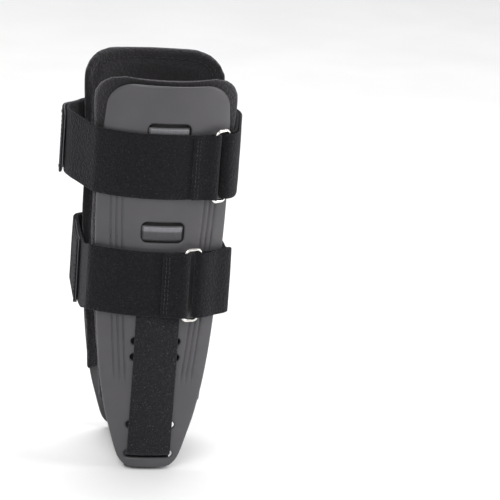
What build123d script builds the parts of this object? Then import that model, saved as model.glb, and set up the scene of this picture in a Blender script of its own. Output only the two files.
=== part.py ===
"""Stirrup ankle orthosis: two padded side shells joined under the heel and wrapped by two ring straps.

Millimetres. +X points to the toes, -Y is the lateral (outer) side of a right leg, +Z is up.
The origin is the middle of the heel strap's underside, where the brace rests on the floor or insole.
"""

import math
import os

from build123d import *

# Side shells: every horizontal section of a side is part of one circle, pushed out by reach(z).
SIDE_RADIUS = 60.0
SHELL_THICKNESS = 2.4
SHELL_TOP = 227.5
SHELL_SIDE = [
    (9.4, 18.4), (20.4, 22.0), (35.5, 26.3), (58.0, 30.4), (91.0, 33.9), (136.0, 36.7), (170.0, 37.2)
]
SHELL_SHOULDER = (202.0, 35.8)
SHELL_TOE = (1.4, 10.5)
SHELL_CORNER_RADIUS = 15.0
SECTION_LEVELS = [-8.0, 30.0, 60.0, 90.0, 125.0, 165.0, 205.0, 245.0]

# Openings moulded through each shell.
WINDOW_LENGTH = 24.5
WINDOW_HEIGHT = 12.0
WINDOW_CORNER = 3.4
WINDOW_LEVELS = [141.8, 199.5]
SLOT_LENGTH = 28.0
SLOT_HEIGHT = 4.2
SLOT_LEVELS = [9.4, 27.0, 68.0, 77.5]

# Three moulded grooves beside each edge, closing in towards the toe of the shell.
GROOVE_PATH = [(50.0, 18.6), (91.0, 22.4), (150.0, 26.2), (190.0, 27.0)]
GROOVE_SPACING = 3.1
GROOVE_WIDTH = 1.0
GROOVE_DEPTH = 0.55

# Layers of the removable pad, from the shell inwards.
PATCH_THICKNESS = 0.7
BACKING_THICKNESS = 0.8
FOAM_THICKNESS = 6.0
LINING_THICKNESS = 0.8
PAD_BOTTOM = 37.0
PAD_TOP = 232.0
PAD_SIDE = [(37.0, 30.0), (91.0, 36.0), (136.0, 38.7), (175.0, 39.5), (212.0, 41.1)]
PAD_CORNER_RADIUS = 16.0
PAD_FOOT_RADIUS = 1.5
FOAM_INSET = 1.6
LINING_INSET = 4.5

# Heel strap, of one width and thickness all along.
HEEL_WIDTH = 25.0
HEEL_THICKNESS = 1.4
HEEL_CLEARANCE = 0.5
HEEL_TAIL_TOP = 118.0
HEEL_BEND_RADIUS = 3.5
HEEL_PATCHES = [(34.0, 60.0), (88.0, 114.0)]
HEEL_PATCH_WIDTH = 20.0

# Wrap straps and their rings.
STRAP_WIDTH = 38.0
STRAP_THICKNESS = 1.5
LAYER_GAP = 0.3
STRAP_CORNER = 3.0
RING_WIRE = 2.0
RING_SPACING = 9.0
RING_HEIGHT = STRAP_WIDTH + 1.4 + RING_WIRE
RING_CORNER = 2.6
KEEPER_BORE = 1.3
FOLD_BORE = 1.9
BAR_STANDOFF = 3.3
HINGE_GAP = 0.3
TAB_ROOM = 30.0

UPPER = {
    "bottom": 162.0,
    "edge": 37.2,
    "gap": 1.0,
    "front": (9.5, 34.0),
    "rear": (-21.0, 29.5),
    "ring_x": 27.0,
    "ring_turn": 33.0,
    "tab_lead": 21.0,
    "tab_end": 190.0,
}
LOWER = {
    "bottom": 93.5,
    "edge": 35.2,
    "gap": 2.5,
    "front": (6.0, 31.0),
    "rear": (-5.5, 31.0),
    "ring_x": 13.5,
    "ring_turn": 18.0,
    "tab_lead": 27.0,
    "tab_end": 188.0,
}

FAR = 300.0


def reach(z):
    """How far the shell's outer face stands from the mid-plane: fuller at the ankle bone, flared at the top."""
    return 41.0 + 8.0 * (z / 230.0) ** 2 + 2.5 * math.exp(-(((z - 70.0) / 38.0) ** 2))


def side_body(offset):
    """Solid bounded by the lateral side's outer face, moved outwards by offset."""
    sections = [
        Pos(0, SIDE_RADIUS - reach(z), z) * Circle(SIDE_RADIUS + offset) for z in SECTION_LEVELS
    ]
    return loft(sections)


def skin(outer, inner):
    """Layer that follows the side's outer face, between two offsets from it."""
    return side_body(outer) - side_body(inner)


def side_prism(sketch):
    """Everything on the lateral side whose X and Z lie inside a sketch drawn as (X, Z)."""
    return extrude(Plane.XZ * sketch, 60.0, dir=(0, -1, 0))


def medial(shape):
    """The same piece on the other side of the leg."""
    return mirror(shape, about=Plane.XZ)


def shell_outline():
    """Front view of a shell: a rounded toe below, widening to a broad square shoulder."""
    toe_z, toe_x = SHELL_TOE
    shoulder_z, shoulder_x = SHELL_SHOULDER
    right = [(toe_x, toe_z)] + [(x, z) for z, x in SHELL_SIDE] + [(shoulder_x, shoulder_z)]
    left = [(-x, z) for x, z in right]
    side_right = Spline(right)
    side_left = Spline(left)
    bottom = Line(left[0], right[0])
    top_x = shoulder_x - 0.8
    corner_z = SHELL_TOP - SHELL_CORNER_RADIUS
    rise_right = Line(right[-1], (top_x, corner_z))
    rise_left = Line(left[-1], (-top_x, corner_z))
    inner_x = top_x - SHELL_CORNER_RADIUS
    corner_right = RadiusArc((top_x, corner_z), (inner_x, SHELL_TOP), -SHELL_CORNER_RADIUS)
    corner_left = RadiusArc((-top_x, corner_z), (-inner_x, SHELL_TOP), SHELL_CORNER_RADIUS)
    top = Line((-inner_x, SHELL_TOP), (inner_x, SHELL_TOP))
    edges = [bottom, side_right, rise_right, corner_right, top, corner_left, rise_left, side_left]
    return make_face(edges)


def pad_outline(inset):
    """Front view of a pad, drawn in by inset: straight foot, flared sides and round upper corners."""
    right = [(x - inset, z) for z, x in PAD_SIDE]
    right[0] = (right[0][0], PAD_BOTTOM + inset)
    right.append((PAD_SIDE[-1][1] - inset, PAD_TOP - inset))
    left = [(-x, z) for x, z in reversed(right)]
    face = make_face(Polyline(*right, *left, close=True))
    upper = face.vertices().group_by(Axis.Y)[-1]
    face = fillet(upper, PAD_CORNER_RADIUS - inset)
    return fillet(face.vertices().group_by(Axis.Y)[0], PAD_FOOT_RADIUS)


def window(level, margin):
    """Rounded window, grown all round by margin."""
    size = (WINDOW_LENGTH + 2 * margin, WINDOW_HEIGHT + 2 * margin)
    return Pos(0, level) * RectangleRounded(*size, WINDOW_CORNER + margin)


def slots():
    """The row of heel strap slots, the lowest of them in use."""
    return Sketch() + [Pos(0, z) * SlotOverall(SLOT_LENGTH, SLOT_HEIGHT) for z in SLOT_LEVELS]


def groove(shift):
    """One groove's plan, a thin ribbon moved sideways by shift."""
    line = Spline([(x + shift, z) for z, x in GROOVE_PATH])
    return trace(line, GROOVE_WIDTH)


def shell():
    """Moulded side shell with windows, slots and grooves."""
    body = skin(0, -SHELL_THICKNESS) & side_prism(shell_outline())
    openings = slots() + [window(z, 0) for z in WINDOW_LEVELS]
    body -= side_prism(openings)
    cutter = skin(5, -GROOVE_DEPTH)
    for shift in (-GROOVE_SPACING, 0, GROOVE_SPACING):
        cut = side_prism(groove(shift)) & cutter
        body = body - cut - mirror(cut, about=Plane.YZ)
    return body


def window_bands():
    """Woven bands behind the windows, each with a raised panel that fills its window."""
    bands = []
    for level in WINDOW_LEVELS:
        flange = skin(-SHELL_THICKNESS, -SHELL_THICKNESS - PATCH_THICKNESS)
        flange &= side_prism(window(level, 3.0))
        panel = skin(-1.1, -SHELL_THICKNESS - PATCH_THICKNESS) & side_prism(window(level, -0.4))
        bands.append(flange + panel)
    return Compound(bands)


def patch(low, high, width, centre=0.0):
    """Rectangle of hook tape from one level to another, as a sketch of X and Z."""
    return Pos(centre, (low + high) / 2) * RectangleRounded(width, high - low, 1.5)


def pad_patches():
    """Hook tape inside the shell that holds the pad."""
    plan = Sketch() + [
        patch(44.0, 62.0, 36.0),
        patch(92.0, 126.0, 44.0),
        patch(158.0, 186.0, 52.0),
        patch(213.0, 223.0, 40.0),
    ]
    layer = skin(-SHELL_THICKNESS, -SHELL_THICKNESS - PATCH_THICKNESS)
    return layer & side_prism(plan)


def heel_patches():
    """Hook tape outside the shell that holds the heel strap's tail."""
    plan = Sketch() + [patch(low, high, HEEL_PATCH_WIDTH) for low, high in HEEL_PATCHES]
    return skin(PATCH_THICKNESS, 0) & side_prism(plan)


def strap_patches():
    """Hook tape outside the shell that stops the upper strap from slipping."""
    middle = UPPER["bottom"] + STRAP_WIDTH / 2
    plan = Sketch() + [patch(middle - 12, middle + 12, 16.0, x) for x in (-14.0, 14.0)]
    return skin(PATCH_THICKNESS, 0) & side_prism(plan)


def pad_layers():
    """Backing cloth, foam and lining of the pad, from the shell inwards."""
    outer = -SHELL_THICKNESS - PATCH_THICKNESS
    foam = outer - BACKING_THICKNESS
    inner = foam - FOAM_THICKNESS
    return {
        "pad_backing": skin(outer, foam) & side_prism(pad_outline(0)),
        "pad_foam": skin(foam, inner) & side_prism(pad_outline(FOAM_INSET)),
        "pad_lining": skin(inner, inner - LINING_THICKNESS) & side_prism(pad_outline(LINING_INSET)),
    }


def heel_band(low, high):
    """Sketch of the heel strap's width between two levels."""
    return Pos(0, (low + high) / 2) * Rectangle(HEEL_WIDTH, high - low)


def heel_side():
    """Heel strap on one side: bend at the floor, way in through the lowest slot and tail up the shell."""
    tail_inner = PATCH_THICKNESS
    tail_outer = tail_inner + HEEL_THICKNESS
    drop_outer = -SHELL_THICKNESS - HEEL_CLEARANCE
    drop_inner = drop_outer - HEEL_THICKNESS
    slot_low = SLOT_LEVELS[0] - HEEL_THICKNESS / 2
    slot_high = SLOT_LEVELS[0] + HEEL_THICKNESS / 2
    bend_z = HEEL_THICKNESS + HEEL_BEND_RADIUS
    tail = skin(tail_outer, tail_inner) & side_prism(heel_band(slot_low, HEEL_TAIL_TOP))
    crossing = skin(tail_outer, drop_inner) & side_prism(heel_band(slot_low, slot_high))
    drop = skin(drop_outer, drop_inner) & side_prism(heel_band(bend_z, slot_high))
    return tail + crossing + drop + heel_bend()


def bend_centre():
    """Y and Z of the axis that the heel strap bends around at the lateral floor corner."""
    inner_face = reach(0) - SHELL_THICKNESS - HEEL_CLEARANCE - HEEL_THICKNESS
    return -inner_face + HEEL_BEND_RADIUS + 1.0, HEEL_THICKNESS + HEEL_BEND_RADIUS


def heel_bend():
    """Quarter bend between the floor and the shell's inner face."""
    y, z = bend_centre()
    plan = Plane.YZ.offset(-HEEL_WIDTH / 2) * (Pos(y, z) * Circle(HEEL_BEND_RADIUS + HEEL_THICKNESS))
    ring = extrude(plan, HEEL_WIDTH)
    bore = Pos(0, y, z) * Rot(0, 90, 0) * Cylinder(HEEL_BEND_RADIUS, HEEL_WIDTH + 1)
    quarter = Pos(0, y - 10, z - 10) * Box(HEEL_WIDTH, 20, 20)
    return (ring - bore) & quarter


def hinge_line():
    """Y and Z of the fold about which the medial side opens."""
    y, _ = bend_centre()
    return -y, HEEL_THICKNESS / 2


def heel_floor():
    """Part of the heel strap that lies flat under the heel."""
    y, _ = bend_centre()
    far = -y - HINGE_GAP
    return Pos(0, (y + far) / 2, HEEL_THICKNESS / 2) * Box(HEEL_WIDTH, far - y, HEEL_THICKNESS)


def belt_circles(strap, z, gap):
    """Circles that a wrap strap's inner face goes round at one level, anticlockwise from the lateral side."""
    centre_y = SIDE_RADIUS - reach(z)
    edge = strap["edge"]
    sine = edge / SIDE_RADIUS
    cosine = math.sqrt(1 - sine * sine)
    corner_x = edge - STRAP_CORNER * sine
    corner_y = centre_y - (SIDE_RADIUS - STRAP_CORNER) * cosine
    front_x, front_radius = strap["front"]
    rear_x, rear_radius = strap["rear"]
    circles = [
        ((0.0, centre_y), SIDE_RADIUS),
        ((corner_x, corner_y), STRAP_CORNER),
        ((front_x, 0.0), front_radius),
        ((corner_x, -corner_y), STRAP_CORNER),
        ((0.0, -centre_y), SIDE_RADIUS),
        ((-corner_x, -corner_y), STRAP_CORNER),
        ((rear_x, 0.0), rear_radius),
        ((-corner_x, corner_y), STRAP_CORNER),
    ]
    return [(centre, radius + gap) for centre, radius in circles]


def tangent_normal(first, second):
    """Outward normal of the straight run from one circle of a belt to the next."""
    (x0, y0), r0 = first
    (x1, y1), r1 = second
    length = math.hypot(x1 - x0, y1 - y0)
    along = ((x1 - x0) / length, (y1 - y0) / length)
    out = (along[1], -along[0])
    cosine = min(1.0, (r0 - r1) / length)
    sine = math.sqrt(1 - cosine * cosine)
    return along[0] * cosine + out[0] * sine, along[1] * cosine + out[1] * sine


def belt_face(circles, z):
    """Face inside a taut belt round the circles, at one level."""
    count = len(circles)
    normals = [tangent_normal(circles[i], circles[(i + 1) % count]) for i in range(count)]
    edges = []
    for i, ((x, y), radius) in enumerate(circles):
        before = normals[i - 1]
        after = normals[i]
        middle = (before[0] + after[0], before[1] + after[1])
        size = math.hypot(*middle)
        start = (x + radius * before[0], y + radius * before[1])
        halfway = (x + radius * middle[0] / size, y + radius * middle[1] / size)
        end = (x + radius * after[0], y + radius * after[1])
        edges.append(ThreePointArc(start, halfway, end))
        (next_x, next_y), next_radius = circles[(i + 1) % count]
        next_start = (next_x + next_radius * after[0], next_y + next_radius * after[1])
        if math.dist(end, next_start) > 0.001:
            edges.append(Line(end, next_start))
    return Pos(0, 0, z) * make_face(edges)


def belt_solid(strap, gap):
    """Everything inside a wrap strap's face at the given gap from the shell."""
    low = strap["bottom"]
    levels = [low, low + STRAP_WIDTH]
    return loft([belt_face(belt_circles(strap, z, gap), z) for z in levels], ruled=True)


def belt_layer(strap, number):
    """Full turn of a strap: layer 0 lies on the shells, layer 1 on layer 0."""
    inner = strap["gap"] + number * (STRAP_THICKNESS + LAYER_GAP)
    return belt_solid(strap, inner + STRAP_THICKNESS) - belt_solid(strap, inner)


def ring_place(strap):
    """Location of a ring: origin in the rear bar at mid-height, X across the ring, Z along its bars."""
    middle = strap["bottom"] + STRAP_WIDTH / 2
    low, high = strap["bottom"], strap["bottom"] + STRAP_WIDTH
    lean = math.degrees(math.atan((reach(high) - reach(low)) / STRAP_WIDTH))
    radius = SIDE_RADIUS + strap["gap"] + BAR_STANDOFF
    x = strap["ring_x"]
    y = SIDE_RADIUS - reach(middle) - math.sqrt(radius * radius - x * x)
    return Pos(x, y, middle) * Rot(lean, 0, 0) * Rot(0, 0, strap["ring_turn"])


def ring(strap):
    """Rectangular wire ring with rounded corners."""
    outline = Pos(RING_SPACING / 2, 0) * RectangleRounded(RING_SPACING, RING_HEIGHT, RING_CORNER)
    path = (Plane.XZ * outline).wire()
    start = path @ 0
    section = Plane(origin=start, z_dir=path % 0) * Circle(RING_WIRE / 2)
    return ring_place(strap) * sweep(section, path=path)


def eye(strap, across, bore):
    """Strap folded once round a bar of the ring: a tube as long as the strap is wide."""
    tube = Cylinder(bore + STRAP_THICKNESS, STRAP_WIDTH) - Cylinder(bore, STRAP_WIDTH)
    return ring_place(strap) * Pos(across, 0, 0) * tube


def eye_bore(strap, across, bore):
    """The room round a bar that a strap's layers keep clear of."""
    return ring_place(strap) * Pos(across, 0, 0) * Cylinder(bore, STRAP_WIDTH + 4)


def behind_ring(strap):
    """Half-space on the heel side of the ring's rear bar."""
    return ring_place(strap) * Pos(-FAR / 2, 0, 0) * Box(FAR, FAR, FAR)


def ahead_of_ring(strap):
    """Space on the toe side of the ring's front bar, down to the leg's mid-plane."""
    ahead = ring_place(strap) * Pos(RING_SPACING + FAR / 2, 0, 0) * Box(FAR, FAR, FAR)
    return ahead & lateral_space() & (Pos(FAR / 2, 0, 0) * Box(FAR, FAR, 2 * FAR))


def lateral_space():
    """Half-space on the lateral side of the mid-plane, less half the gap at the split."""
    return Pos(0, -FAR / 2 - HINGE_GAP / 2, 0) * Box(2 * FAR, FAR, 2 * FAR)


def seam_point(strap, z):
    """Point on the outer face where the hook tab's seam crosses one level, and the strap's normal there."""
    gap = strap["gap"] + 2 * STRAP_THICKNESS + LAYER_GAP
    circles = belt_circles(strap, z, gap)
    corner, rear = circles[5], circles[6]
    normal_x, normal_y = tangent_normal(corner, rear)
    (x, y), radius = rear
    arc_start = Vector(x + radius * normal_x, y + radius * normal_y, z)
    along = Vector(-normal_y, normal_x, 0)
    return arc_start - along * strap["tab_lead"], Vector(normal_x, normal_y, 0)


def seam_place(strap):
    """Frame on the hook tab's seam: X out of the strap, Z up the seam, so that -Y runs along the tab."""
    low, _ = seam_point(strap, strap["bottom"])
    high, _ = seam_point(strap, strap["bottom"] + STRAP_WIDTH)
    middle, normal = seam_point(strap, strap["bottom"] + STRAP_WIDTH / 2)
    return Plane(origin=middle, x_dir=normal, z_dir=high - low)


def tab_space(strap, margin):
    """Block round the stretch of strap that the tab takes, begun ahead of the seam by margin."""
    block = Pos(0, FAR / 2 - margin, 0) * Box(2 * TAB_ROOM, FAR, FAR)
    return seam_place(strap) * block


def rear_wedge(strap):
    """Wedge about the rear circle's axis that ends where the tab ends."""
    centre = (strap["rear"][0], 0.0)
    tips = [
        (centre[0] + FAR * math.cos(math.radians(a)), FAR * math.sin(math.radians(a)))
        for a in (100.0, (100.0 + strap["tab_end"]) / 2, strap["tab_end"])
    ]
    return extrude(make_face(Polyline(centre, *tips, close=True)), FAR)


def wrap_strap(strap, name):
    """Named pieces of one wrap strap, split where the sides open and where the tab peels."""
    inner = belt_layer(strap, 0)
    outer = belt_layer(strap, 1)
    lateral = (inner & behind_ring(strap) & lateral_space()) - eye_bore(strap, 0, KEEPER_BORE)
    front = ((inner + outer) & ahead_of_ring(strap)) - eye_bore(strap, RING_SPACING, FOLD_BORE)
    medial_inner = inner & mirror(lateral_space(), about=Plane.XZ)
    medial_outer = outer & mirror(lateral_space(), about=Plane.XZ)
    return {
        f"{name}_strap_lateral": lateral + eye(strap, 0, KEEPER_BORE),
        f"{name}_strap_front": front + eye(strap, RING_SPACING, FOLD_BORE),
        f"{name}_strap_medial": medial_inner,
        f"{name}_strap_return": medial_outer - tab_space(strap, HINGE_GAP),
        f"{name}_hook_tab": outer & tab_space(strap, 0) & rear_wedge(strap),
        f"{name}_ring": ring(strap),
    }


def side_pieces():
    """Named pieces of the lateral side, each with a twin on the medial side."""
    pieces = {
        "shell": shell(),
        "window_bands": window_bands(),
        "pad_hook_patches": pad_patches(),
        "heel_hook_patches": heel_patches(),
        "strap_hook_patches": strap_patches(),
    }
    pieces.update(pad_layers())
    return pieces


def main():
    nodes = {}
    for name, shape in side_pieces().items():
        nodes[f"lateral_{name}"] = shape
        nodes[f"medial_{name}"] = medial(shape)
    half = heel_side()
    nodes["heel_strap"] = half + heel_floor()
    nodes["heel_strap_medial_tail"] = medial(half)
    nodes.update(wrap_strap(UPPER, "upper"))
    nodes.update(wrap_strap(LOWER, "lower"))
    os.makedirs("parts", exist_ok=True)
    for name, shape in nodes.items():
        export_step(shape, f"parts/{name}.step")
    print("shell hinge Y Z", hinge_line())
    for name, strap in (("upper", UPPER), ("lower", LOWER)):
        place = ring_place(strap)
        axis = place * Pos(0, 0, 1)
        print(name, "ring bar", place.position, "along", axis.position - place.position)
        seam = seam_place(strap)
        print(name, "tab seam", seam.origin, "along", seam.z_dir)


main()
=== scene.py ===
import math

import bpy
import numpy as np
from mathutils import Matrix, Vector, noise
from mathutils.geometry import delaunay_2d_cdt
from mathutils.kdtree import KDTree


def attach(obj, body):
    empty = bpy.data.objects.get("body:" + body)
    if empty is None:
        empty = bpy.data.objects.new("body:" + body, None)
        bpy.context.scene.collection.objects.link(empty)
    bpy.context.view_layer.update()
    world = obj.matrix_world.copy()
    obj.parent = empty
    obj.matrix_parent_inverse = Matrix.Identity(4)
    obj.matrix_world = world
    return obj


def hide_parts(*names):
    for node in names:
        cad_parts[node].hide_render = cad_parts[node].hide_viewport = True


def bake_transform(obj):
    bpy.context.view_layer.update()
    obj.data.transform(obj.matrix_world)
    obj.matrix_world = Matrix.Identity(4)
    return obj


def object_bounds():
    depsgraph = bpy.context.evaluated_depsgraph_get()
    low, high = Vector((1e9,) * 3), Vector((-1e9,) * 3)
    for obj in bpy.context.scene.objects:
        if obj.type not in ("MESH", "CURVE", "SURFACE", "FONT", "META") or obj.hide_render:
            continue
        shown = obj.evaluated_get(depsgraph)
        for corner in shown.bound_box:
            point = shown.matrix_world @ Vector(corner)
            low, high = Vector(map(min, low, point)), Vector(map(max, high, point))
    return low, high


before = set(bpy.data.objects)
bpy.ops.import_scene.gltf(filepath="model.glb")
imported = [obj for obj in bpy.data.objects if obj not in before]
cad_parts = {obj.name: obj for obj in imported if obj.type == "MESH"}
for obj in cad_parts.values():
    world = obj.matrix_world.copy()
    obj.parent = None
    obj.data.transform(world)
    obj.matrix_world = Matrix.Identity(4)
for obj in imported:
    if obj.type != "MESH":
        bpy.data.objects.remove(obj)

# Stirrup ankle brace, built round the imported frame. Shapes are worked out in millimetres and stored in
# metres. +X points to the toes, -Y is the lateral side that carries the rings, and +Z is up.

CAD_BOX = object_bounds()
MM = 0.001

# ---------------------------------------------------------------- sizes, as in the frame

SIDE_RADIUS = 60.0
SHELL_THICKNESS = 2.4
PATCH_THICKNESS = 0.7
WINDOW_SIZE = (24.5, 12.0)
WINDOW_CORNER = 3.4
WINDOW_LEVELS = (141.8, 199.5)
SLOT_SIZE = (28.0, 4.2)
SLOT_LEVELS = (9.4, 27.0, 68.0, 77.5)

SHELL_TOP = 227.5
SHELL_CORNER = 15.0
SHELL_SIDE = [
    (9.0, 1.4), (12.6, 2.3), (15.8, 4.9), (18.4, 9.4), (22.0, 20.4), (26.3, 35.5), (30.4, 58.0),
    (33.9, 91.0), (36.7, 136.0), (37.2, 170.0), (35.8, 202.0),
]

PAD_SIDE = [(30.0, 37.0), (36.0, 91.0), (38.7, 136.0), (39.5, 175.0), (41.1, 212.0)]
PAD_TOP = 232.0
PAD_CORNER = 16.0
PAD_OUTER = -SHELL_THICKNESS - PATCH_THICKNESS
PAD_INNER = PAD_OUTER - 7.6
PAD_INSET = 0.6
PAD_VOXEL = 2.2
PAD_PRESSURE = 4.0
PAD_SWELL_CAP = 1.6
PAD_SEAM_INSET = 7.0
PAD_SEAM_DEPTH = 1.0
PAD_SEAM_HALF = 2.2

GROOVE_PATH = [(18.6, 50.0), (22.4, 91.0), (26.2, 150.0), (27.0, 190.0)]
GROOVE_SPACING = 3.1
GROOVE_HALF = 0.8
GROOVE_DEPTH = 0.6
GROOVE_FADE = 9.0

STRAP_WIDTH = 38.0
STRAP_THICKNESS = 1.5
LAYER_GAP = 0.3
STRAP_CORNER = 3.0
RING_WIRE = 2.0
RING_SPACING = 9.0
RING_HEIGHT = STRAP_WIDTH + 1.4 + RING_WIRE
RING_CORNER = 2.6
BAR_STANDOFF = 3.3
REAR_BORE = 1.3
FRONT_BORE = 1.9
TAB_STANDOFF = 1.2
STUB_START = 13.0
STUB_END = 8.0
BELT_LEAVE = 11.0
BELT_JOIN = 13.0
BELT_STEPS = [40, 8, 24, 8, 60, 8, 24, 8]
RUN_STEPS = 16

UPPER = {
    "name": "upper", "bottom": 162.0, "edge": 37.2, "gap": 1.0, "front": (9.5, 34.0), "lift": 3.0,
    "rear": (-21.0, 29.5), "ring_x": 27.0, "ring_turn": 33.0, "tab_lead": 21.0, "tab_end": 190.0,
}
LOWER = {
    "name": "lower", "bottom": 93.5, "edge": 35.2, "gap": 2.5, "front": (6.0, 31.0), "lift": -6.0,
    "rear": (-5.5, 31.0), "ring_x": 13.5, "ring_turn": 18.0, "tab_lead": 27.0, "tab_end": 188.0,
}

HEEL_WIDTH = 25.0
HEEL_THICKNESS = 1.4
HEEL_TOP = 118.0
HEEL_CLEARANCE = 0.5
HEEL_BEND_RADIUS = 3.5
HEEL_BEND_INSET = 1.0

CAMERA_AZIMUTH = -10.0
CAMERA_ELEVATION = 15.0
CAMERA_ROLL = 4.0
CAMERA_DISTANCE = 2.2
FRAME_WIDTH = 0.2885
AIM_RIGHT = 0.0608
AIM_UP = 0.0078
SENSOR = 36.0

# Studio, in metres and watts: each light's name, place, size and power.
LIGHT_TARGET = (0, 0, 0.12)
LIGHTS = [
    ("key", (-0.5, -1.3, 1.1), (0.9, 0.9), 13),
    ("side", (1.3, -0.35, 0.6), (0.5, 1.0), 9),
    ("top", (0.1, 0.5, 1.5), (1.0, 0.6), 11),
]
WORLD_STRENGTH = 0.68


# ---------------------------------------------------------------- small helpers

def reach(z):
    """How far the shell's outer face stands from the mid-plane."""
    return 41.0 + 8.0 * (z / 230.0) ** 2 + 2.5 * math.exp(-(((z - 70.0) / 38.0) ** 2))


def side_y(x, z, offset):
    """Y of the lateral side's face, moved outwards by offset."""
    return SIDE_RADIUS - reach(z) - math.sqrt((SIDE_RADIUS + offset) ** 2 - x * x)


def lerp(a, b, t):
    """Value between two others, at the share t."""
    return a + (b - a) * t


def smooth(t):
    """Smooth step from 0 to 1, held outside that range."""
    t = min(1.0, max(0.0, t))
    return t * t * (3.0 - 2.0 * t)


def mesh_object(name, points, faces, material, uvs=None):
    """Smooth-shaded object from points in millimetres; uvs gives one pair for each point."""
    mesh = bpy.data.meshes.new(name)
    mesh.from_pydata([Vector(p) * MM for p in points], [], faces)
    if uvs:
        layer = mesh.uv_layers.new(name="UVMap")
        for loop in mesh.loops:
            layer.data[loop.index].uv = uvs[loop.vertex_index]
    mesh.polygons.foreach_set("use_smooth", [True] * len(mesh.polygons))
    mesh.materials.append(material)
    mesh.update()
    piece = bpy.data.objects.new(name, mesh)
    bpy.context.scene.collection.objects.link(piece)
    return piece


def both_sides(points, faces):
    """Name, points and faces of a lateral mesh and of its mirror image, which still faces outwards."""
    flipped = [(x, -y, z) for x, y, z in points]
    return [("lateral", points, faces), ("medial", flipped, [tuple(reversed(face)) for face in faces])]


def running_lengths(chain):
    """Distance along a chain to each of its points."""
    lengths = [0.0]
    for a, b in zip(chain, chain[1:]):
        lengths.append(lengths[-1] + (b - a).length)
    return lengths


def locate(lengths, s):
    """Stretch of a chain that holds the distance s, and how far into the stretch that is."""
    s = min(max(s, 0.0), lengths[-1])
    k = min(int(np.searchsorted(lengths, s, "right")) - 1, len(lengths) - 2)
    return k, (s - lengths[k]) / max(1e-9, lengths[k + 1] - lengths[k])


def spline(knots, step):
    """Catmull-Rom curve through 2-D knots, sampled about every step."""
    points = []
    ends = [2 * Vector(knots[0]) - Vector(knots[1]), 2 * Vector(knots[-1]) - Vector(knots[-2])]
    chain = [ends[0]] + [Vector(k) for k in knots] + [ends[1]]
    for i in range(1, len(chain) - 2):
        a, b, c, d = chain[i - 1:i + 3]
        count = max(2, round((c - b).length / step))
        for k in range(count):
            t = k / count
            points.append(0.5 * (
                2 * b + (c - a) * t + (2 * a - 5 * b + 4 * c - d) * t * t
                + (3 * b - a - 3 * c + d) * t ** 3
            ))
    return points + [chain[-2]]


def arc(centre, radius, start, end, count):
    """Points on a circle in the plane, between two angles in degrees."""
    angles = [math.radians(lerp(start, end, k / count)) for k in range(count + 1)]
    return [Vector((centre[0] + radius * math.cos(a), centre[1] + radius * math.sin(a))) for a in angles]


def resample(loop, step):
    """Closed loop with points about every step."""
    closed = list(loop) + [loop[0]]
    lengths = running_lengths(closed)
    count = round(lengths[-1] / step)
    points = []
    k = 0
    for i in range(count):
        target = lengths[-1] * i / count
        while lengths[k + 1] < target:
            k += 1
        span = lengths[k + 1] - lengths[k]
        points.append(closed[k].lerp(closed[k + 1], (target - lengths[k]) / span))
    return points


def rounded_box(centre_z, size, corner):
    """Anticlockwise loop of a rounded rectangle centred on the X axis at a level."""
    x, z = size[0] / 2 - corner, size[1] / 2 - corner
    turns = [(x, -z, -90), (x, z, 0), (-x, z, 90), (-x, -z, 180)]
    loop = []
    for cx, cz, start in turns:
        loop += arc((cx, centre_z + cz), corner, start, start + 90, 8)
    return loop


def inset_loop(loop, distance):
    """Anticlockwise loop drawn inwards by distance."""
    count = len(loop)
    inner = []
    for i in range(count):
        along = (loop[(i + 1) % count] - loop[i - 1]).normalized()
        inner.append(loop[i] + Vector((-along.y, along.x)) * distance)
    return inner


def inside(points, loop):
    """Which of an array of 2-D points lie inside a loop."""
    xs, ys = points[:, 0], points[:, 1]
    result = np.zeros(len(points), bool)
    for a, b in zip(loop, loop[1:] + loop[:1]):
        if a.y == b.y:
            continue
        crosses = (a.y > ys) != (b.y > ys)
        at = (b.x - a.x) * (ys - a.y) / (b.y - a.y) + a.x
        result ^= crosses & (xs < at)
    return result


def tree_of(points):
    """Search tree of 2-D points."""
    tree = KDTree(len(points))
    for i, point in enumerate(points):
        tree.insert((point.x, point.y, 0), i)
    tree.balance()
    return tree


# ---------------------------------------------------------------- plates: shells and pads

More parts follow.
